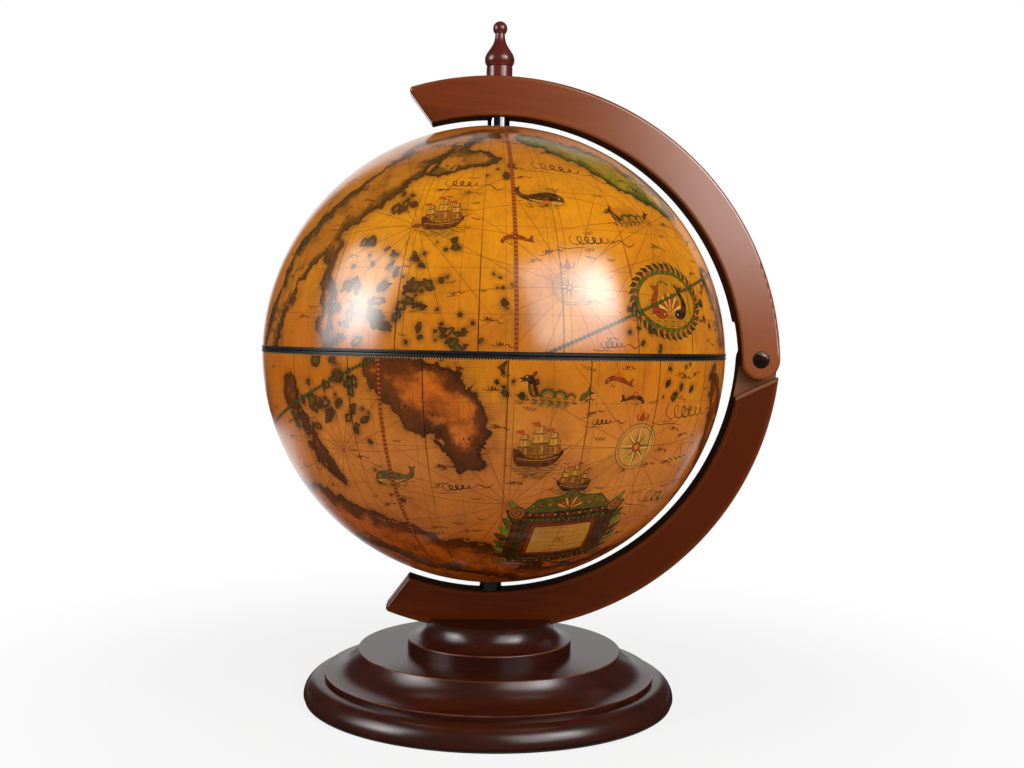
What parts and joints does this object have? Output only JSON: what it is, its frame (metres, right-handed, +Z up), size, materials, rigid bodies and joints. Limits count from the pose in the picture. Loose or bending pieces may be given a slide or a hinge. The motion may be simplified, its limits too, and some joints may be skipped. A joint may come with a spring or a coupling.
{
  "type": "tabletop globe bar",
  "caption": "Hinged antique-map globe on two curved wooden arms and a stepped round base; the upper half swings open over a rack for a bottle and glasses.",
  "frame": {"origin": "centre of the base's underside, on the table", "axes": "+Z up along the globe's axis, +X towards the hinge of the two arms, +Y towards the back, away from the hinge bolt's domed head"},
  "size_m": [0.3731, 0.3306, 0.4869],
  "materials": {
    "base_wood": "dark red-brown stained hardwood, satin lacquer",
    "arm_wood": "red-brown stained laminated hardwood, satin lacquer",
    "map_paper": "printed paper, clear satin varnish",
    "shell_board": "moulded fibre board, lined with plain paper",
    "rim_black": "black, satin gloss",
    "black_nickel": "black nickel plated, polished",
    "zinc_steel": "zinc plated steel",
    "brass": "turned brass, plain",
    "dark_bronze": "dark antique bronze finish, semi-gloss",
    "nylon": "dark nylon",
    "felt": "dark green felt",
    "rack_wood": "red-brown stained wood, satin lacquer"
  },
  "bodies": {
    "stand": {"base_felt": "felt", "plinth": "base_wood", "base_step": "base_wood", "pedestal": "base_wood", "plinth_screws": "zinc_steel", "lower_arm": "arm_wood", "stand_bolts": "zinc_steel", "stand_washers": "zinc_steel", "arm_inserts": "brass", "pivot_bolt": "dark_bronze", "pivot_washer": "nylon", "pivot_nut_washer": "dark_bronze", "pivot_cap_nut": "dark_bronze", "lower_spindle_bolt": "zinc_steel", "lower_seat_washer": "zinc_steel", "lower_spindle_sleeve": "black_nickel", "lower_spindle_insert": "brass"},
    "upper_arm": {"upper_arm": "arm_wood", "pivot_bush": "brass", "finial": "arm_wood", "upper_spindle_bolt": "zinc_steel", "upper_spindle_sleeve": "black_nickel"},
    "lid": {"lid_shell": "shell_board", "lid_gores": "map_paper", "lid_rim_band": "rim_black", "lid_pole_boss": "rack_wood", "lid_bush": "brass", "lid_pole_washer": "brass", "lid_thrust_washer": "brass"},
    "bowl": {"bowl_shell": "shell_board", "bowl_gores": "map_paper", "bowl_rim_band": "rim_black", "bowl_pole_boss": "rack_wood", "bowl_bush": "brass", "bowl_pole_washer": "brass", "bowl_thrust_washer": "brass", "rack_ledge": "rack_wood", "rack_board": "rack_wood", "glass_shelf": "rack_wood", "rack_posts": "rack_wood", "rack_screws": "brass", "bottle_floor": "rack_wood"}
  },
  "joints": [
    {"name": "arm_fold", "type": "hinge", "parent": "stand", "child": "upper_arm", "pos_m": [0.19315, 0, 0.24763], "axis": [0, 1, 0], "range_deg": [0, 80]},
    {"name": "lid_spin", "type": "hinge", "parent": "upper_arm", "child": "lid", "pos_m": [0, 0, 0.33], "axis": [0, 0, 1], "continuous": true},
    {"name": "bowl_spin", "type": "hinge", "parent": "stand", "child": "bowl", "pos_m": [0, 0, 0.17], "axis": [0, 0, 1], "continuous": true}
  ]
}
